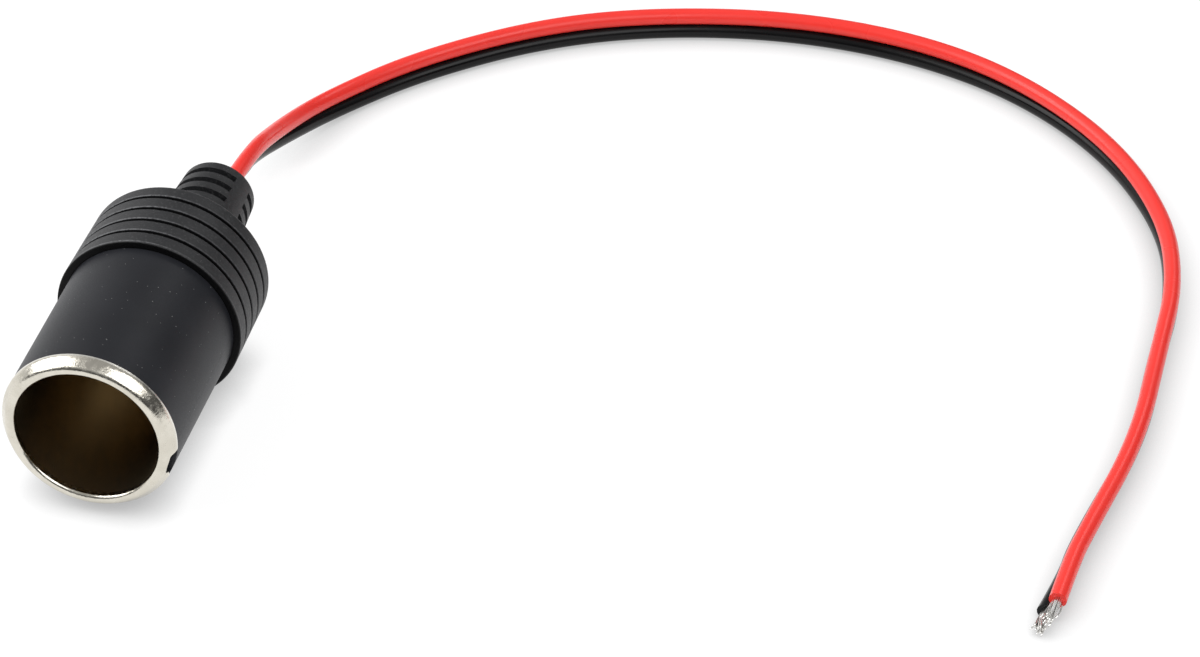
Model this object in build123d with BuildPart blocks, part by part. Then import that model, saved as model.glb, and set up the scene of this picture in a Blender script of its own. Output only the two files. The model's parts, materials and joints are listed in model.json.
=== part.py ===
"""Car 12 V power socket on a short twin lead: plated shell, moulded barrel, ribbed rear boot."""
import math
import os

from build123d import *

# Shell: a drawn can, open at the mouth, with a rolled lip and a necked base
bore_radius = 10.7
shell_sheet = 0.4
shell_depth = 36.5
neck_step = 1.1
neck_length = 4.0
sheet_bend = 0.6
lip_inner_bend = 0.6
lip_flat = 0.06
lip_front_bend = 1.1
lip_slope = 54.5
lip_outer_bend = 1.2
lip_skirt = 0.6
lip_proud = 0.1
lip_gap = 0.15

# Key notch in the lip and the slot behind it in the barrel
notch_angle = -16.6
notch_width = 5.9
notch_depth = 0.72
notch_flare = 1.0
notch_round = 0.5
key_slot_length = 0.35
key_slot_wall = 0.5

# Barrel and boot, outward from the shell
fit_gap = 0.05
barrel_wall = 1.8
barrel_chamfer = 0.4
boot_wall = 1.1
boot_grip = 8.75
boot_edge = 0.25
terminal_room = 3.3
boot_end_wall = 2.85
cap_taper = 0.26
cap_rear_round = 0.8

# Ribs: bands of the cap parted by narrow grooves
rib_count = 5
groove_depth = 0.5
groove_mouth = 0.62
groove_floor = 0.36
rib_front_round = 0.12
rib_back_round = 0.3

# Strain relief at the rear of the boot, with arc slots either side of the mould line
relief_length = 18.45
relief_base_radius = 6.88
relief_end_radius = 5.66
relief_root_round = 1.0
relief_end_round = 0.5
mould_angle = 36.0
slot_count = 3
slot_pitch = 2.78
slot_width = 1.2
slot_depth = 1.6
slot_land = 29.0
slot_end_land = 1.85
tail_cavity_radius = 4.8
tail_cavity_length = 10.0

# Contacts in the base of the shell
floor_hole_radius = 2.5
insulator_radius = 5.0
insulator_thickness = 1.5
rear_insulator_thickness = 0.8
contact_shank_radius = 1.6
contact_head_radius = 4.0
contact_head_height = 1.3
contact_dome = 0.6
clinch_radius = 2.5
clinch_height = 0.7
ground_shank_radius = 0.95
ground_head_radius = 1.7
ground_head_height = 0.6

# Solder lugs: stamped and folded strip
lug_sheet = 0.5
lug_width = 2.8
lug_bend = 0.6
lug_rise = 1.5
lug_slope = 4.4
lug_ledge = 0.5
lug_foot = 0.85
fold_gap = 0.25
positive_ring_radius = 3.2
ground_ring_radius = 1.9

# Wires of the twin lead and their bare ends
wire_radius = 1.3
wire_gap = 0.05
conductor_radius = 0.6
solder_length = 4.5
red_straight = 9.5
black_straight = 7.14
red_bare_length = 5.0
black_bare_length = 4.4

# Radii outward from the axis
sheet_middle = shell_sheet / 2
shell_radius = bore_radius + shell_sheet
neck_radius = bore_radius - neck_step
barrel_inner_radius = shell_radius + fit_gap
barrel_radius = barrel_inner_radius + barrel_wall
lip_radius = barrel_radius + lip_proud
lip_turn = math.radians(lip_slope)
brow_radius = bore_radius + lip_inner_bend + lip_flat + lip_front_bend * math.tan(lip_turn / 2)
sheet_brow_radius = brow_radius - sheet_middle * math.tan(lip_turn / 2)
nose_cover = shell_sheet + fit_gap
nose_brow_radius = brow_radius - nose_cover * math.tan(lip_turn / 2)
nose_radius = lip_radius - nose_cover
boot_inner_radius = barrel_radius + fit_gap
cap_front_radius = boot_inner_radius + boot_wall
cap_rear_radius = cap_front_radius - cap_taper
ground_radius = (insulator_radius + neck_radius) / 2
ground_foot = ground_radius - ground_shank_radius - lug_ledge
ground_fold = ground_foot - lug_foot
rear_insulator_radius = ground_fold - lug_sheet / 2 - fold_gap
wire_offset = wire_radius + wire_gap / 2
lug_tail_radius = wire_offset + conductor_radius + fit_gap + lug_sheet / 2

# Depths back from the mouth
lip_bevel = (lip_radius - brow_radius) * math.tan(lip_turn)
lip_edge = lip_bevel + lip_skirt
sheet_bevel = lip_bevel + sheet_middle * math.tan(math.pi / 4 - lip_turn / 2)
nose_bevel = lip_bevel + nose_cover * math.tan(math.pi / 4 - lip_turn / 2)
barrel_shoulder = lip_edge + lip_gap
neck_depth = shell_depth - neck_length
insulator_front = shell_depth - insulator_thickness
shell_back = shell_depth + shell_sheet
positive_seat = shell_back + rear_insulator_thickness
clinch_seat = positive_seat + lug_sheet
cap_start = shell_back - boot_grip
cavity_back = shell_back + terminal_room
cap_end = cavity_back + boot_end_wall
tail_cavity_back = cavity_back + tail_cavity_length
wire_start = tail_cavity_back - fit_gap
overall_length = cap_end + relief_length

# The socket lies on its side: axis along Y, mouth towards -Y, cap on the floor
axis_z = cap_front_radius
mouth_y = -overall_length / 2
socket_axis = Axis((0, mouth_y, axis_z), (0, 1, 0))


def half_plane(angle):
    """Plane through the axis: local x is the radius at this angle, local y the depth."""
    turn = math.radians(angle)
    outward = (math.cos(turn), 0, math.sin(turn))
    across = (-math.sin(turn), 0, math.cos(turn))
    return Plane((0, mouth_y, axis_z), x_dir=outward, z_dir=across)


def cross_plane(depth, angle=0.0):
    """Plane across the axis, facing the mouth: local x is the radius at this angle."""
    turn = math.radians(angle)
    outward = (math.cos(turn), 0, math.sin(turn))
    return Plane((0, mouth_y + depth, axis_z), x_dir=outward, z_dir=(0, -1, 0))


def finish(part, name):
    """Label a piece and write it."""
    part.label = name
    export_step(part, f"parts/{name}.step")


os.makedirs("parts", exist_ok=True)

# Socket shell: one sheet from the floor hole up the neck and bore and over the lip to its edge
with BuildPart() as socket_shell:
    with BuildSketch(half_plane(0)):
        with BuildLine():
            FilletPolyline(
                (floor_hole_radius, shell_depth + sheet_middle),
                (neck_radius + sheet_middle, shell_depth + sheet_middle),
                (neck_radius + sheet_middle, neck_depth + neck_step),
                (bore_radius + sheet_middle, neck_depth),
                (bore_radius + sheet_middle, sheet_middle),
                (sheet_brow_radius, sheet_middle),
                (lip_radius - sheet_middle, sheet_bevel),
                (lip_radius - sheet_middle, lip_edge),
                radius=[
                    sheet_bend,
                    sheet_bend,
                    sheet_bend,
                    lip_inner_bend - sheet_middle,
                    lip_front_bend - sheet_middle,
                    lip_outer_bend - sheet_middle,
                ],
            )
        trace(line_width=shell_sheet)
    revolve(axis=socket_axis)
    with BuildSketch(cross_plane(0, notch_angle)):
        with BuildLine():
            Polyline(
                (lip_radius - notch_depth, notch_width / 2 - notch_flare),
                (lip_radius, notch_width / 2),
                (lip_radius + notch_depth, notch_width / 2),
                (lip_radius + notch_depth, -notch_width / 2),
                (lip_radius, -notch_width / 2),
                (lip_radius - notch_depth, -notch_width / 2 + notch_flare),
                close=True,
            )
        make_face()
        fillet(vertices().group_by(Axis.X)[0] + vertices().group_by(Axis.X)[1], notch_round)
    extrude(amount=-lip_edge, mode=Mode.SUBTRACT)
    with BuildSketch(cross_plane(shell_back, mould_angle + 180)):
        with Locations((ground_radius, 0)):
            Circle(ground_shank_radius + fit_gap)
    extrude(amount=shell_sheet, mode=Mode.SUBTRACT)
finish(socket_shell.part, "socket_shell")

# Barrel: a moulded tube whose bevelled nose fills the hollow of the lip, up to a low shoulder
with BuildPart() as barrel_sleeve:
    with BuildSketch(half_plane(0)):
        with BuildLine():
            Polyline(
                (barrel_inner_radius, shell_back),
                (barrel_inner_radius, nose_cover),
                (nose_brow_radius, nose_cover),
                (nose_radius, nose_bevel),
                (nose_radius, barrel_shoulder),
                (barrel_radius, barrel_shoulder),
                (barrel_radius, shell_back),
                close=True,
            )
        make_face()
        inner_nose = vertices().sort_by_distance((barrel_inner_radius, nose_cover))[0]
        fillet(inner_nose, lip_inner_bend - nose_cover)
        nose_brow = vertices().sort_by_distance((nose_brow_radius, nose_cover))[0]
        fillet(nose_brow, lip_front_bend - nose_cover)
        outer_nose = vertices().sort_by_distance((nose_radius, nose_bevel))[0]
        fillet(outer_nose, lip_outer_bend - nose_cover)
        rear_corner = vertices().sort_by_distance((barrel_radius, shell_back))[0]
        chamfer(rear_corner, barrel_chamfer)
    revolve(axis=socket_axis)
    with BuildSketch(cross_plane(0, notch_angle)):
        with Locations((barrel_inner_radius + key_slot_wall, 0)):
            Rectangle(barrel_wall, notch_width - 2 * notch_flare, align=(Align.MIN, Align.CENTER))
    extrude(amount=-(lip_edge + key_slot_length), mode=Mode.SUBTRACT)
finish(barrel_sleeve.part, "barrel_sleeve")


def cap_radius(depth):
    """Radius of the tapered cap at a depth."""
    return cap_front_radius - cap_taper * (depth - cap_start) / (cap_end - cap_start)


def relief_radius(depth):
    """Radius of the tapered strain relief at a depth."""
    share = (depth - cap_end) / relief_length
    return relief_base_radius + (relief_end_radius - relief_base_radius) * share


# Rear boot: ribbed cap and slotted strain relief in one soft moulding, hollow round the terminals
with BuildPart() as rear_boot:
    with BuildSketch(half_plane(0)):
        with BuildLine():
            Polyline(
                (boot_inner_radius, cap_start),
                (cap_front_radius, cap_start),
                (cap_rear_radius, cap_end),
                (relief_base_radius, cap_end),
                (relief_end_radius, overall_length),
                (0, overall_length),
                (0, tail_cavity_back),
                (tail_cavity_radius, tail_cavity_back),
                (tail_cavity_radius, cavity_back),
                (barrel_inner_radius, cavity_back),
                (barrel_inner_radius, shell_back),
                (boot_inner_radius, shell_back),
                close=True,
            )
        make_face()
        fillet(vertices().sort_by_distance((cap_front_radius, cap_start))[0], boot_edge)
        fillet(vertices().sort_by_distance((cap_rear_radius, cap_end))[0], cap_rear_round)
        fillet(vertices().sort_by_distance((relief_base_radius, cap_end))[0], relief_root_round)
        fillet(vertices().sort_by_distance((relief_end_radius, overall_length))[0], relief_end_round)
        rib_pitch = (cap_end - cap_start) / rib_count
        for rib in range(1, rib_count):
            groove = cap_start + rib * rib_pitch
            rim = cap_radius(groove)
            with BuildLine():
                Polyline(
                    (rim - groove_depth, groove - groove_floor / 2),
                    (rim - groove_depth, groove + groove_floor / 2),
                    (rim + groove_depth, groove + groove_mouth - groove_floor / 2),
                    (rim + groove_depth, groove - groove_mouth + groove_floor / 2),
                    close=True,
                )
            make_face(mode=Mode.SUBTRACT)
            back_edge = vertices().sort_by_distance((rim, groove - groove_mouth / 2))[0]
            fillet(back_edge, rib_back_round)
            front_edge = vertices().sort_by_distance((rim, groove + groove_mouth / 2))[0]
            fillet(front_edge, rib_front_round)
    revolve(axis=socket_axis)
    for side in (0, 180):
        with BuildSketch(half_plane(mould_angle + side - slot_land / 2)):
            for slot in range(slot_count):
                middle = overall_length - slot_end_land - slot_width / 2 - slot * slot_pitch
                with Locations((relief_radius(middle) - slot_depth, middle)):
                    Rectangle(2 * slot_depth, slot_width, align=(Align.MIN, Align.CENTER))
        revolve(axis=socket_axis, revolution_arc=180 - slot_land, mode=Mode.SUBTRACT)
    with BuildSketch(cross_plane(overall_length, mould_angle)):
        with Locations((wire_offset, 0), (-wire_offset, 0)):
            Circle(wire_radius + fit_gap)
    extrude(amount=overall_length - tail_cavity_back, mode=Mode.SUBTRACT)
finish(rear_boot.part, "rear_boot")

# Contact insulator: a flanged bush that carries the centre contact through the shell's floor
with BuildPart() as contact_insulator:
    with BuildSketch(cross_plane(shell_depth)):
        Circle(insulator_radius)
    extrude(amount=insulator_thickness)
    with BuildSketch(cross_plane(shell_back)):
        Circle(floor_hole_radius - fit_gap)
    extrude(amount=shell_sheet)
    with BuildSketch(cross_plane(shell_back)):
        Circle(contact_shank_radius + fit_gap)
    extrude(amount=shell_back - insulator_front, mode=Mode.SUBTRACT)
    chamfer(edges().group_by(Axis.Y)[0].sort_by(SortBy.RADIUS)[-1], insulator_thickness / 4)
finish(contact_insulator.part, "contact_insulator")

# Rear insulator: a washer between the shell's floor and the positive lug
with BuildPart() as rear_insulator:
    with BuildSketch(cross_plane(shell_back)):
        Circle(rear_insulator_radius)
        Circle(contact_shank_radius + fit_gap, mode=Mode.SUBTRACT)
    extrude(amount=-rear_insulator_thickness)
finish(rear_insulator.part, "rear_insulator")

# Centre contact: a rivet with a domed button in front, clinched over the positive lug behind
with BuildPart() as centre_contact:
    with BuildSketch(cross_plane(insulator_front)):
        Circle(contact_head_radius)
    extrude(amount=contact_head_height)
    fillet(edges().group_by(Axis.Y)[0], contact_dome)
    with BuildSketch(cross_plane(insulator_front)):
        Circle(contact_shank_radius)
    extrude(amount=-(clinch_seat - insulator_front))
    with BuildSketch(cross_plane(clinch_seat)):
        Circle(clinch_radius)
    extrude(amount=-clinch_height)
    fillet(edges().group_by(Axis.Y)[-1], clinch_height / 2)
finish(centre_contact.part, "centre_contact")


def lug_tail(angle, ring_edge, bend_radius, seat):
    """Side view of a lug's folded tail: off the ring, up, and in along its wire's conductor."""
    level = seat + lug_sheet / 2
    with BuildSketch(half_plane(angle)) as tail:
        with BuildLine():
            FilletPolyline(
                (ring_edge, level),
                (bend_radius, level),
                (bend_radius, level + lug_rise),
                (lug_tail_radius, level + lug_rise + lug_slope),
                (lug_tail_radius, wire_start),
                radius=lug_bend,
            )
        trace(line_width=lug_sheet)
    return tail.sketch


# Positive lug: a ring under the clinched head, folded towards the red wire
with BuildPart() as positive_lug:
    with BuildSketch(cross_plane(positive_seat)):
        Circle(positive_ring_radius)
    extrude(amount=-lug_sheet)
    positive_tail = lug_tail(
        mould_angle,
        contact_shank_radius + lug_ledge,
        positive_ring_radius + lug_ledge,
        positive_seat,
    )
    extrude(positive_tail, amount=lug_width / 2, both=True)
    with BuildSketch(cross_plane(positive_seat)):
        Circle(contact_shank_radius + fit_gap)
    extrude(amount=-lug_sheet, mode=Mode.SUBTRACT)
finish(positive_lug.part, "positive_lug")

# Negative lug: a ring riveted to the shell's floor, folded towards the black wire
with BuildPart() as negative_lug:
    with BuildSketch(cross_plane(shell_back, mould_angle + 180)):
        with Locations((ground_radius, 0)):
            Circle(ground_ring_radius)
    extrude(amount=-lug_sheet)
    negative_tail = lug_tail(
        mould_angle + 180,
        ground_foot,
        ground_fold,
        shell_back,
    )
    extrude(negative_tail, amount=lug_width / 2, both=True)
    with BuildSketch(cross_plane(shell_back, mould_angle + 180)):
        with Locations((ground_radius, 0)):
            Circle(ground_shank_radius + fit_gap)
    extrude(amount=-lug_sheet, mode=Mode.SUBTRACT)
finish(negative_lug.part, "negative_lug")

# Ground rivet: holds the negative lug against the shell's floor
with BuildPart() as ground_rivet:
    with BuildSketch(cross_plane(shell_depth, mould_angle + 180)):
        with Locations((ground_radius, 0)):
            Circle(ground_head_radius)
    extrude(amount=ground_head_height)
    fillet(edges().group_by(Axis.Y)[0], ground_head_height / 2)
    with BuildSketch(cross_plane(shell_depth, mould_angle + 180)):
        with Locations((ground_radius, 0)):
            Circle(ground_shank_radius)
    extrude(amount=-(shell_sheet + lug_sheet))
    with BuildSketch(cross_plane(shell_back + lug_sheet, mould_angle + 180)):
        with Locations((ground_radius, 0)):
            Circle(ground_head_radius)
    extrude(amount=-ground_head_height)
    fillet(edges().group_by(Axis.Y)[-1], ground_head_height / 2)
finish(ground_rivet.part, "ground_rivet")

# Routes of the two wires: straight out of the strain relief, down, and round a loop on the floor,
# red standing on black
exit_turn = math.radians(mould_angle)
exit_x = wire_offset * math.cos(exit_turn)
exit_z = wire_offset * math.sin(exit_turn)
inner_y = mouth_y + wire_start
outer_y = mouth_y + overall_length
red_route = [
    (exit_x, inner_y, axis_z + exit_z),
    (exit_x, outer_y + red_straight, axis_z + exit_z),
    (0.8, 59.5, 7.25),
    (3.6, 74.0, 3.975),
    (14.5, 87.7, 3.975),
    (30.0, 100.7, 3.975),
    (49.0, 109.7, 3.975),
    (70.0, 114.2, 3.975),
    (91.0, 112.7, 3.975),
    (110.0, 105.7, 3.975),
    (126.5, 92.7, 3.975),
    (137.5, 75.7, 3.975),
    (142.6, 55.2, 3.975),
    (143.1, 26.2, 3.975),
    (140.0, 0.2, 3.975),
    (138.4, -19.5, 3.72),
]
black_route = [
    (-exit_x, inner_y, axis_z - exit_z),
    (-exit_x, outer_y + black_straight, axis_z - exit_z),
    (0.8, 52.0, 6.6),
    (2.4, 72.3, 1.325),
    (14.5, 87.7, 1.325),
    (30.0, 100.7, 1.325),
    (49.0, 109.7, 1.325),
    (70.0, 114.2, 1.325),
    (91.0, 112.7, 1.325),
    (110.0, 105.7, 1.325),
    (126.5, 92.7, 1.325),
    (137.5, 75.7, 1.325),
    (142.6, 55.2, 1.325),
    (143.1, 26.2, 1.325),
    (139.3, 0.2, 1.325),
    (136.9, -20.2, 1.325),
]
arc_share = 0.45


def corner_radii(route):
    """Largest gentle arc at each corner, from the shorter of its two runs."""
    points = [Vector(*point) for point in route]
    radii = []
    for before, corner, after in zip(points, points[1:], points[2:]):
        run_in = corner - before
        run_out = after - corner
        half_turn = math.radians(run_in.get_angle(run_out)) / 2
        radii.append(arc_share * min(run_in.length, run_out.length) / math.tan(half_turn))
    return radii


for colour, route, bare_length in (
    ("red", red_route, red_bare_length),
    ("black", black_route, black_bare_length),
):
    radii = corner_radii(route)
    with BuildPart() as wire:
        with BuildLine() as path:
            FilletPolyline(*route, radius=radii)
        with BuildSketch(Plane(path.line @ 0, z_dir=path.line % 0)):
            Circle(wire_radius)
        sweep()
    finish(wire.part, f"{colour}_wire")

    with BuildPart() as conductor:
        with BuildSketch(Plane(path.line @ 0, z_dir=-(path.line % 0))):
            Circle(conductor_radius)
        extrude(amount=solder_length)
        with BuildSketch(Plane(path.line @ 1, z_dir=path.line % 1)):
            Circle(conductor_radius)
        extrude(amount=bare_length)
    finish(conductor.part, f"{colour}_conductor")

    length = path.wire().length
    filled = wire.part.volume / (math.pi * wire_radius**2 * length)
    print(colour, "radii", [round(radius, 1) for radius in radii])
    print(colour, "length", round(length, 1), "volume share", round(filled, 5))
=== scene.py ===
import json
import math
import random

import bpy
import bmesh
from mathutils import Matrix, Vector


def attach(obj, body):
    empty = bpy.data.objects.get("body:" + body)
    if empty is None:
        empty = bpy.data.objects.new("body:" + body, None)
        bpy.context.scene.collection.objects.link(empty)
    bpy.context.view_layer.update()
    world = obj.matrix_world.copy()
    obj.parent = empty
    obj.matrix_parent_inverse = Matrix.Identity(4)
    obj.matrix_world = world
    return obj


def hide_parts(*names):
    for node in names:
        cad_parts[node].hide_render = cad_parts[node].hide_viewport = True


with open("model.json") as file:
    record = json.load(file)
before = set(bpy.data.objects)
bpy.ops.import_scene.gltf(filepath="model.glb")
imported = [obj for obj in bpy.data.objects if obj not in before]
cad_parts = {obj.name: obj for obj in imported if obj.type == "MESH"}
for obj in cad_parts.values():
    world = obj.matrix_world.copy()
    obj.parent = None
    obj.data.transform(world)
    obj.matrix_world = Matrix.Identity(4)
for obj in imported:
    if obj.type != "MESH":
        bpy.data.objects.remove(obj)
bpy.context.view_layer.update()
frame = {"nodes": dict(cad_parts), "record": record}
nodes = frame["nodes"]
scene = bpy.context.scene
MM = 0.001

# the socket's own sizes: depth is measured back from the mouth, radius from the axis
AXIS_Z = 14.1 * MM
MOUTH_Y = -30.75 * MM
CAP_START = 28.15 * MM
CAP_END = 43.05 * MM
CAP_R = 14.1 * MM
CAP_TAPER = 0.26 * MM
RIB_PITCH = 2.98 * MM

# where one part of a material gives way to the next, as (from, to)
BORE_RADIUS = (11.05 * MM, 10.85 * MM)
BORE_DEPTH = (0.55 * MM, 1.3 * MM)
LIP_EDGE_DEPTH = (1.75 * MM, 2.0 * MM)
LIP_EDGE_RADIUS = (12.7 * MM, 12.9 * MM)
UNDER_LIP_SHADE_DEPTH = (2.30 * MM, 2.15 * MM)
BANDS_FROM = (28.1 * MM, 28.2 * MM)
BANDS_TO = (42.0 * MM, 41.8 * MM)
GROOVE_SINK = (0.07 * MM, 0.17 * MM)
FRONT_FACE_DEPTH = (28.30 * MM, 28.18 * MM)
FRONT_FACE_RADIUS = (12.9 * MM, 13.0 * MM)
# a painted highlight along the ribs' front edges, lighter on the left
RIB_HIGHLIGHT_FROM = (0.20 * MM, 0.30 * MM)
RIB_HIGHLIGHT_TO = (0.52 * MM, 0.42 * MM)
RIB_HIGHLIGHT_SIDE = (8.0 * MM, -5.0 * MM)


# node helpers
class Net:
    """A material's node tree with short calls for the nodes used here."""

    def __init__(self, name):
        self.material = bpy.data.materials.new(name)
        self.material.use_nodes = True
        self.tree = self.material.node_tree
        self.tree.nodes.clear()
        self.out = self.tree.nodes.new("ShaderNodeOutputMaterial")

    def add(self, kind, **settings):
        node = self.tree.nodes.new("ShaderNode" + kind)
        for key, value in settings.items():
            setattr(node, key, value)
        return node

    def link(self, source, target):
        self.tree.links.new(source, target)

    def put(self, socket, value):
        if isinstance(value, bpy.types.NodeSocket):
            self.link(value, socket)
        else:
            socket.default_value = value

    def math(self, operation, a, b=None, clamp=False):
        node = self.add("Math", operation=operation, use_clamp=clamp)
        self.put(node.inputs[0], a)
        if b is not None:
            self.put(node.inputs[1], b)
        return node.outputs[0]

    def ramp(self, value, low, high, start=0.0, end=1.0, smooth=True):
        node = self.add("MapRange", interpolation_type="SMOOTHSTEP" if smooth else "LINEAR", clamp=True)
        self.put(node.inputs["Value"], value)
        node.inputs["From Min"].default_value = low
        node.inputs["From Max"].default_value = high
        node.inputs["To Min"].default_value = start
        node.inputs["To Max"].default_value = end
        return node.outputs["Result"]

    def mix(self, factor, a, b):
        node = self.add("Mix", data_type="RGBA")
        self.put(node.inputs[0], factor)
        self.put(node.inputs[6], a)
        self.put(node.inputs[7], b)
        return node.outputs[2]

    def place(self):
        return self.add("TexCoord").outputs["Object"]

    def axis(self, vector, name):
        node = self.add("SeparateXYZ")
        self.link(vector, node.inputs["Vector"])
        return node.outputs[name]

    def noise(self, vector, scale, detail, roughness=0.5):
        node = self.add("TexNoise")
        self.link(vector, node.inputs["Vector"])
        node.inputs["Scale"].default_value = scale
        node.inputs["Detail"].default_value = detail
        node.inputs["Roughness"].default_value = roughness
        return node.outputs["Fac"]

    def specks(self, vector, scale, size, share):
        """Sparse round specks: 1 on a speck, 0 elsewhere."""
        node = self.add("TexVoronoi", feature="F1")
        self.link(vector, node.inputs["Vector"])
        node.inputs["Scale"].default_value = scale
        chosen = self.add("SeparateColor")
        self.link(node.outputs["Color"], chosen.inputs[0])
        rare = self.math("LESS_THAN", chosen.outputs[0], share)
        near = self.ramp(node.outputs["Distance"], size, size * 0.6)
        return self.math("MULTIPLY", rare, near)

    def stretch(self, vector, scale):
        node = self.add("Mapping")
        self.link(vector, node.inputs["Vector"])
        node.inputs["Scale"].default_value = scale
        return node.outputs["Vector"]

    def bump(self, height, distance, strength):
        node = self.add("Bump")
        node.inputs["Strength"].default_value = strength
        node.inputs["Distance"].default_value = distance
        self.link(height, node.inputs["Height"])
        return node.outputs["Normal"]

    def surface(self, **sockets):
        node = self.add("BsdfPrincipled")
        for key, value in sockets.items():
            self.put(node.inputs[key.replace("_", " ")], value)
        self.link(node.outputs[0], self.out.inputs["Surface"])
        return self.material


def socket_place(net, vector):
    """Radius from the socket's axis and depth back from its mouth, in metres."""
    across = net.axis(vector, "X")
    up = net.math("SUBTRACT", net.axis(vector, "Z"), AXIS_Z)
    square = net.math("ADD", net.math("MULTIPLY", across, across), net.math("MULTIPLY", up, up))
    return net.math("SQRT", square), net.math("SUBTRACT", net.axis(vector, "Y"), MOUTH_Y)


# materials
def nickel_shell():
    net = Net("nickel_shell")
    place = net.place()
    radius, depth = socket_place(net, place)
    # Painted shade: deep in the bore the nickel is painted a dark brown, standing in for the shade
    # inside the shell.
    bore_shade = net.math("MULTIPLY", net.ramp(radius, *BORE_RADIUS), net.ramp(depth, *BORE_DEPTH))
    outside = net.math("SUBTRACT", 1.0, bore_shade)
    # Painted highlight: the lip's rear rim is painted lighter, as a bright line, and is also made
    # rougher.
    rim_highlight = net.math("MULTIPLY", net.ramp(depth, *LIP_EDGE_DEPTH), net.ramp(radius, *LIP_EDGE_RADIUS))
    cloud = net.noise(place, 300, 3)
    grain = net.noise(place, 3400, 3, 0.6)
    worn = net.noise(place, 1400, 3, 0.6)
    plate = net.mix(net.ramp(cloud, 0.35, 0.65), (0.70, 0.668, 0.588, 1), (0.63, 0.598, 0.52, 1))
    plate = net.mix(rim_highlight, plate, (0.86, 0.84, 0.78, 1))
    # the bore's painted shade colour
    color = net.mix(bore_shade, plate, (0.45, 0.37, 0.25, 1))
    rough_lip = net.math("MULTIPLY", net.ramp(worn, 0.40, 0.66, 0.12, 0.28), outside)
    rough = net.math("ADD", rough_lip, net.math("MULTIPLY", bore_shade, 0.30))
    rough = net.math("ADD", rough, net.math("MULTIPLY", rim_highlight, 0.2))
    height = net.math("MULTIPLY", net.math("ADD", net.math("MULTIPLY", worn, 0.4), grain), outside)
    return net.surface(
        Base_Color=color,
        Metallic=1.0,
        Roughness=rough,
        Normal=net.bump(height, 0.00004, 0.5),
    )


def barrel_black():
    net = Net("barrel_black")
    place = net.place()
    cloud = net.noise(place, 90, 3)
    grain = net.noise(place, 7000, 2, 0.6)
    large = net.specks(place, 700, 0.065, 0.6)
    small = net.specks(place, 1300, 0.09, 0.3)
    dust = net.math("ADD", large, small, clamp=True)
    base = net.mix(net.ramp(cloud, 0.3, 0.7), (0.0142, 0.015, 0.0186, 1), (0.0186, 0.0196, 0.024, 1))
    base = net.mix(net.math("MULTIPLY", dust, 0.55), base, (0.42, 0.42, 0.41, 1))
    depth = socket_place(net, place)[1]
    # Painted shade: the nose under the lip, seen in the notch, is painted near black with little gloss.
    under_lip_shade = net.ramp(depth, *UNDER_LIP_SHADE_DEPTH)
    rough = net.ramp(grain, 0.3, 0.7, 0.42, 0.52)
    return net.surface(
        Base_Color=net.mix(under_lip_shade, base, (0.002, 0.002, 0.0022, 1)),
        Roughness=rough,
        Specular_IOR_Level=net.ramp(under_lip_shade, 0.0, 1.0, 0.27, 0.04),
        Normal=net.bump(grain, 0.000012, 0.35),
    )


def boot_black():
    net = Net("boot_black")
    place = net.place()
    radius, depth = socket_place(net, place)
    along = net.math("MODULO", net.math("SUBTRACT", depth, CAP_START), RIB_PITCH)
    on_bands = net.math("MULTIPLY", net.ramp(depth, *BANDS_FROM), net.ramp(depth, *BANDS_TO))
    outside = net.ramp(depth, CAP_START, CAP_END, CAP_R, CAP_R - CAP_TAPER, smooth=False)
    sunk = net.ramp(net.math("SUBTRACT", outside, radius), *GROOVE_SINK)
    groove = net.math("MULTIPLY", on_bands, sunk)
    front = net.ramp(depth, *FRONT_FACE_DEPTH)
    front = net.math("MULTIPLY", front, net.ramp(radius, *FRONT_FACE_RADIUS))
    shade = net.math("MAXIMUM", groove, front)
    cloud = net.noise(place, 120, 3)
    grain = net.noise(place, 2600, 3, 0.65)
    fine = net.noise(place, 9000, 2, 0.5)
    dust = net.specks(place, 1500, 0.10, 0.3)
    # Painted highlight: a lighter line along each rib's front edge, broken up by the grain and fading to
    # the right, away from the light.
    rib_highlight = net.math("MULTIPLY", net.ramp(along, *RIB_HIGHLIGHT_FROM), net.ramp(along, *RIB_HIGHLIGHT_TO))
    rib_highlight = net.math("MULTIPLY", rib_highlight, on_bands)
    rib_highlight = net.math("MULTIPLY", rib_highlight, net.ramp(grain, 0.34, 0.60, 0.2, 1.0))
    rib_highlight = net.math("MULTIPLY", rib_highlight, net.ramp(net.axis(place, "X"), *RIB_HIGHLIGHT_SIDE, 0.25, 1.0))
    base = net.mix(net.ramp(cloud, 0.3, 0.7), (0.0115, 0.0118, 0.0135, 1), (0.016, 0.0164, 0.0185, 1))
    base = net.mix(net.ramp(grain, 0.5, 0.70), base, (0.042, 0.0425, 0.045, 1))
    base = net.mix(net.math("MULTIPLY", dust, 0.4), base, (0.34, 0.34, 0.33, 1))
    base = net.mix(rib_highlight, base, (0.15, 0.152, 0.16, 1))
    color = net.mix(shade, base, (0.003, 0.003, 0.0034, 1))
    rough = net.ramp(grain, 0.3, 0.7, 0.44, 0.62)
    height = net.math("ADD", net.math("MULTIPLY", grain, 0.7), net.math("MULTIPLY", fine, 0.3))
    return net.surface(
        Base_Color=color,
        Roughness=rough,
        Specular_IOR_Level=net.ramp(shade, 0.0, 1.0, 0.5, 0.12),
        Normal=net.bump(height, 0.00006, 0.5),
    )


def insulator_brown():
    net = Net("insulator_brown")
    place = net.place()
    fibre = net.noise(net.stretch(place, (1, 1, 0.15)), 3000, 4, 0.6)
    color = net.mix(net.ramp(fibre, 0.35, 0.65), (0.15, 0.088, 0.036, 1), (0.21, 0.125, 0.055, 1))
    return net.surface(
        Base_Color=color,
        Roughness=net.ramp(fibre, 0.3, 0.7, 0.45, 0.6),
        Normal=net.bump(fibre, 0.00002, 0.3),
    )


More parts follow.
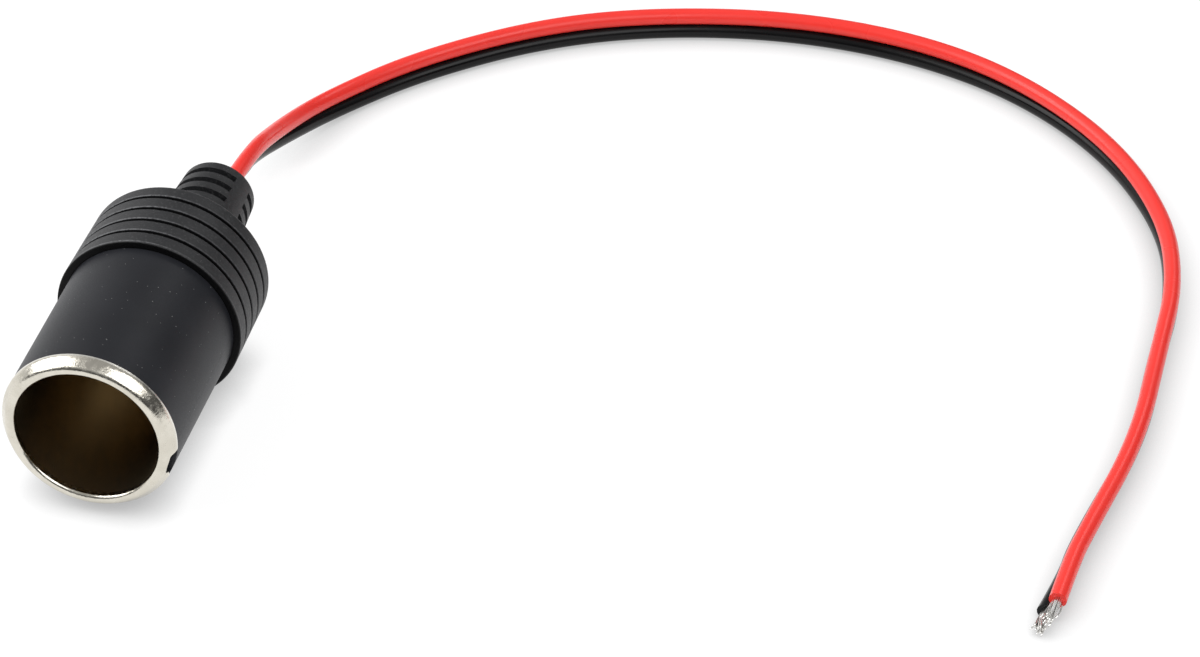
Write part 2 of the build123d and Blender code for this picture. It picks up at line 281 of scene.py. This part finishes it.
def plated(name, light, dark, low, high):
    net = Net(name)
    place = net.place()
    cloud = net.noise(place, 700, 3)
    grain = net.noise(net.stretch(place, (1, 1, 0.2)), 5000, 3, 0.6)
    return net.surface(
        Base_Color=net.mix(net.ramp(cloud, 0.3, 0.7), light, dark),
        Metallic=1.0,
        Roughness=net.ramp(grain, 0.3, 0.7, low, high),
        Normal=net.bump(grain, 0.00001, 0.3),
    )


def wire_coat(name, light, dark, low, high, gloss):
    net = Net(name)
    place = net.place()
    cloud = net.noise(place, 70, 2)
    sheen = net.noise(place, 55, 2, 0.5)
    skin = net.noise(place, 260, 2, 0.5)
    dust = net.specks(place, 900, 0.07, 0.015)
    base = net.mix(net.ramp(cloud, 0.3, 0.7), light, dark)
    return net.surface(
        Base_Color=net.mix(net.math("MULTIPLY", dust, 0.2), base, (0.6, 0.55, 0.53, 1)),
        Roughness=net.ramp(sheen, 0.35, 0.65, low, high),
        Specular_IOR_Level=gloss,
        Normal=net.bump(skin, 0.00004, 0.12),
    )


paint = {
    "nickel_shell": nickel_shell(),
    "barrel_black": barrel_black(),
    "boot_black": boot_black(),
    "insulator_brown": insulator_brown(),
    "contact_nickel": plated("contact_nickel", (0.72, 0.68, 0.58, 1), (0.60, 0.56, 0.47, 1), 0.18, 0.32),
    "lug_brass": plated("lug_brass", (0.78, 0.57, 0.25, 1), (0.62, 0.43, 0.18, 1), 0.22, 0.38),
    "rivet_steel": plated("rivet_steel", (0.62, 0.61, 0.59, 1), (0.50, 0.49, 0.47, 1), 0.22, 0.36),
    "wire_red": wire_coat(
        "wire_red", (0.98, 0.048, 0.037, 1), (0.96, 0.043, 0.033, 1), 0.24, 0.36, 0.38
    ),
    "wire_black": wire_coat(
        "wire_black", (0.003, 0.003, 0.0035, 1), (0.006, 0.006, 0.0065, 1), 0.16, 0.30, 0.20
    ),
    "tinned_copper": plated("tinned_copper", (0.93, 0.92, 0.90, 1), (0.78, 0.77, 0.74, 1), 0.14, 0.26),
}
for row in frame["record"]["subparts"]:
    piece = nodes[row["node"]]
    piece.data.materials.clear()
    piece.data.materials.append(paint[row["material_slot"]])

# the lead
RED_ROUTE = [
    (1.072, 19.4, 14.879), (1.072, 39.2, 14.879), (1.12, 59.72, 7.37), (4.26, 73.28, 3.94),
    (14.56, 87.14, 3.87), (31.37, 101.17, 3.91), (48.31, 108.89, 3.93), (69.79, 113.46, 3.93),
    (90.71, 112.52, 3.86), (109.26, 105.68, 3.93), (126.86, 91.55, 3.93), (138.05, 74.09, 3.93),
    (142.33, 57.49, 3.93), (142.56, 40.47, 3.92), (143.0, 18.74, 3.89), (139.37, -3.69, 3.7),
    (138.53, -10.43, 3.92), (138.06, -19.28, 3.58),
]
BLACK_ROUTE = [
    (-1.072, 19.4, 13.321), (-1.072, 31.9, 13.321), (-0.47, 41.85, 10.25), (-1.87, 50.85, 6.72),
    (0.78, 62.19, 3.77), (5.06, 74.02, 1.325), (15.18, 86.92, 1.325), (31.04, 100.52, 1.325),
    (48.69, 109.0, 1.325), (69.78, 113.21, 1.325), (90.55, 111.96, 1.325), (109.69, 105.2, 1.325),
    (126.74, 91.77, 1.325), (138.54, 73.55, 1.325), (142.28, 56.92, 1.325), (142.12, 41.52, 1.325),
    (142.75, 21.48, 1.325), (138.21, -4.25, 1.325), (137.99, -11.11, 1.325), (136.52, -19.69, 1.325),
]
WIRE_D = 2.6 * MM
STRAND_R = 0.135 * MM
STRAND_STEPS = 10
STRAND_RINGS = ((0.29, 6), (0.55, 12))
HEXAGON = [(math.cos(k * math.pi / 3), math.sin(k * math.pi / 3)) for k in range(6)]
# A loose strand on the red end, in mm along, beside and above it
STRAY_STRAND = [
    (-0.3, -0.5, -0.2), (0.6, -0.85, -0.3), (1.6, -1.02, -0.35), (2.6, -0.98, -0.4), (3.2, -0.78, -0.4),
    (3.1, -0.6, -0.35), (2.3, -0.62, -0.3),
]


def lead(name, route, slot, replaced):
    curve = bpy.data.curves.new(name, "CURVE")
    curve.dimensions = "3D"
    curve.resolution_u = 14
    curve.bevel_depth = WIRE_D / 2
    curve.bevel_resolution = 6
    curve.use_fill_caps = True
    spline = curve.splines.new("NURBS")
    spline.points.add(len(route) - 1)
    for point, place in zip(spline.points, route):
        point.co = (place[0] * MM, place[1] * MM, place[2] * MM, 1)
    spline.order_u = 3
    spline.use_endpoint_u = True
    piece = bpy.data.objects.new(name, curve)
    scene.collection.objects.link(piece)
    curve.materials.append(paint[slot])
    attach(piece, "root")
    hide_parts(replaced)
    return piece


def strands(name, start, aim, length, seed, replaced, loose=()):
    """A bundle of fine tinned strands, lightly twisted and splayed, leaving a cut end."""
    chance = random.Random(seed)
    start = Vector(start) * MM
    aim = Vector(aim).normalized()
    side = aim.cross(Vector((0, 0, 1))).normalized()
    rise = side.cross(aim)
    mesh = bmesh.new()

    def thread(points):
        rings = []
        for i, point in enumerate(points):
            before, after = points[max(i - 1, 0)], points[min(i + 1, len(points) - 1)]
            along = (after - before).normalized()
            a = along.cross(rise).normalized()
            b = a.cross(along)
            size = STRAND_R * (0.75 if i == len(points) - 1 else 1.0)
            rings.append([mesh.verts.new(point + size * (a * p + b * q)) for p, q in HEXAGON])
        for one, two in zip(rings, rings[1:]):
            for k in range(len(HEXAGON)):
                n = (k + 1) % len(HEXAGON)
                mesh.faces.new((one[k], one[n], two[n], two[k]))
        mesh.faces.new(rings[0][::-1])
        mesh.faces.new(rings[-1])

    spots = [(0.0, 0.0)]
    for ring, many in STRAND_RINGS:
        turns = [2 * math.pi * k / many for k in range(many)]
        spots += [(ring * math.cos(turn), ring * math.sin(turn)) for turn in turns]
    for x, y in spots:
        reach = length * MM * chance.uniform(0.82, 1.0)
        spread = chance.uniform(0.0, 0.55)
        drift = chance.uniform(-0.5, 0.5)
        lift = chance.uniform(-0.35, 0.35)
        points = []
        for i in range(STRAND_STEPS + 1):
            t = i / STRAND_STEPS
            turn = 0.9 * t
            wide = 1.0 + spread * t * t
            u = (x * math.cos(turn) - y * math.sin(turn)) * wide + drift * t * t * 0.7
            v = (x * math.sin(turn) + y * math.cos(turn)) * wide + lift * t * t * 0.7
            out = reach * t - 0.6 * MM * (1 - t)
            points.append(start + aim * out + side * (u * MM) + rise * (v * MM))
        thread(points)
    for path in loose:
        thread([start + aim * (p[0] * MM) + side * (p[1] * MM) + rise * (p[2] * MM) for p in path])
    data = bpy.data.meshes.new(name)
    mesh.to_mesh(data)
    mesh.free()
    for face in data.polygons:
        face.use_smooth = True
    piece = bpy.data.objects.new(name, data)
    scene.collection.objects.link(piece)
    data.materials.append(paint["tinned_copper"])
    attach(piece, "root")
    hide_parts(replaced)
    return piece


red_lead = lead("red_lead", RED_ROUTE, "wire_red", "red_wire")
black_lead = lead("black_lead", BLACK_ROUTE, "wire_black", "black_wire")
red_tip = strands(
    "red_strands", RED_ROUTE[-1], (-0.16, -1.0, -0.03), 5.0, 3, "red_conductor", [STRAY_STRAND]
)
black_tip = strands("black_strands", BLACK_ROUTE[-1], (-0.10, -1.0, 0.0), 4.4, 8, "black_conductor")

# floor, light and camera
floor_mesh = bpy.data.meshes.new("floor")
floor_corners = [(-3, -3, 0), (3, -3, 0), (3, 3, 0), (-3, 3, 0)]
floor_mesh.from_pydata(floor_corners, [], [(0, 1, 2, 3)])
floor = bpy.data.objects.new("floor", floor_mesh)
floor.location = (0, 0, -0.00002)
scene.collection.objects.link(floor)
# White where it is seen or mirrored, shaded close to the object; a plain matte floor for other light
net = Net("floor_white")
path = net.add("LightPath")
seen = net.math("MAXIMUM", path.outputs["Is Camera Ray"], path.outputs["Is Transmission Ray"])
seen = net.math("MAXIMUM", seen, path.outputs["Is Glossy Ray"])
open_sky = net.add("AmbientOcclusion", samples=12)
open_sky.inputs["Distance"].default_value = 6.5 * MM
white = net.ramp(open_sky.outputs["AO"], 0.30, 0.90, 0.44, 0.90, smooth=False)
glow = net.add("Emission")
net.link(net.math("MULTIPLY", seen, white), glow.inputs["Strength"])
matte = net.add("BsdfDiffuse")
net.link(net.mix(seen, (0.80, 0.80, 0.81, 1), (0.17, 0.17, 0.172, 1)), matte.inputs["Color"])
both = net.add("AddShader")
net.link(glow.outputs[0], both.inputs[0])
net.link(matte.outputs[0], both.inputs[1])
net.link(both.outputs[0], net.out.inputs["Surface"])
floor_mesh.materials.append(net.material)

world = bpy.data.worlds.new("studio")
world.use_nodes = True
scene.world = world
sky = world.node_tree
sky.nodes.clear()


def sky_node(kind, **settings):
    node = sky.nodes.new("ShaderNode" + kind)
    for key, value in settings.items():
        setattr(node, key, value)
    return node


def sky_ramp(source, low, high, start, end):
    node = sky_node("MapRange", interpolation_type="SMOOTHSTEP", clamp=True)
    sky.links.new(source, node.inputs["Value"])
    for key, value in (("From Min", low), ("From Max", high), ("To Min", start), ("To Max", end)):
        node.inputs[key].default_value = value
    return node.outputs["Result"]


def sky_sum(operation, one, two):
    node = sky_node("Math", operation=operation)
    sky.links.new(one, node.inputs[0])
    sky.links.new(two, node.inputs[1])
    return node.outputs[0]


# Room light: bright to the left, middling overhead and behind, dim low down in front and to the right
toward = sky_node("SeparateXYZ")
sky.links.new(sky_node("TexCoord").outputs["Generated"], toward.inputs[0])
left = sky_ramp(toward.outputs[0], -0.1, -0.75, 0.0, 0.9)
rear = sky_ramp(toward.outputs[1], -0.5, 0.2, 0.0, 1.0)
above = sky_ramp(toward.outputs[2], 0.3, 0.75, 0.12, 0.55)
level = sky_sum("ADD", sky_sum("MULTIPLY", left, rear), above)
room = sky_node("Background")
sky.links.new(level, room.inputs["Strength"])
sky.links.new(room.outputs[0], sky_node("OutputWorld").inputs["Surface"])


def softbox(name, place, aim, wide, tall, watts):
    light = bpy.data.lights.new(name, "AREA")
    light.shape = "RECTANGLE"
    light.size = wide
    light.size_y = tall
    light.energy = watts
    lamp = bpy.data.objects.new(name, light)
    scene.collection.objects.link(lamp)
    lamp.location = place
    lamp.rotation_mode = "QUATERNION"
    lamp.rotation_quaternion = (Vector(aim) - Vector(place)).to_track_quat("-Z", "Y")


softbox("left_light", (-0.74, -0.17, 0.62), (0.05, 0.03, 0.0), 0.9, 0.7, 6.5)
softbox("right_light", (0.60, -0.38, 0.76), (0.05, 0.03, 0.0), 0.95, 0.6, 4.6)
softbox("rim_light", (0.30, 0.72, 0.62), (0.0, 0.0, 0.02), 0.3, 0.3, 0.5)

camera = bpy.data.cameras.new("camera")
PHOTO_WIDTH = 1200
FOCAL_PX = 4916
camera.sensor_width = 36
camera.lens = camera.sensor_width * FOCAL_PX / PHOTO_WIDTH
camera.clip_start = 0.01
camera.clip_end = 20
eye = bpy.data.objects.new("camera", camera)
scene.collection.objects.link(eye)
right = Vector((0.96868, 0.24832, 0.0))
up = Vector((-0.15011, 0.58559, 0.79659))
back = Vector((0.19781, -0.77164, 0.60453))
eye.matrix_world = Matrix((
    (right.x, up.x, back.x, 0.205978),
    (right.y, up.y, back.y, -0.540704),
    (right.z, up.z, back.z, 0.447113),
    (0, 0, 0, 1),
))
scene.camera = eye
scene.view_settings.view_transform = "Standard"
